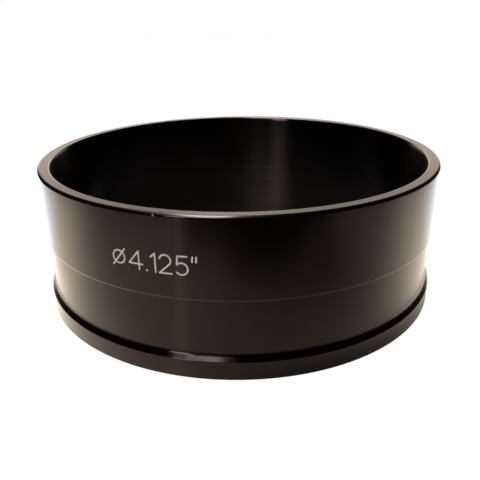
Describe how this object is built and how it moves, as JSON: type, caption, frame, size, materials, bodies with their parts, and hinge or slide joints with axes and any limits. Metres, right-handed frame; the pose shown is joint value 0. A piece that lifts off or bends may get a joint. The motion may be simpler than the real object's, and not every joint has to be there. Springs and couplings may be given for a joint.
{
  "type": "piston ring compressor",
  "caption": "Tapered sleeve ring compressor: a turned ring whose conical bore closes piston rings as the piston is pushed through, with a flange that rests on the deck.",
  "frame": {"origin": "on the axis of the bore, in the plane of the deck face", "axes": "+Z along the bore axis, from the deck face up to the mouth; X and Y lie in the deck face and are free to turn"},
  "size_m": [0.1174, 0.1174, 0.0405],
  "materials": {
    "black_anodise": "turned aluminium, black hard anodise, satin gloss"
  },
  "bodies": {
    "root": {"tapered_sleeve": "black_anodise"}
  },
  "joints": []
}
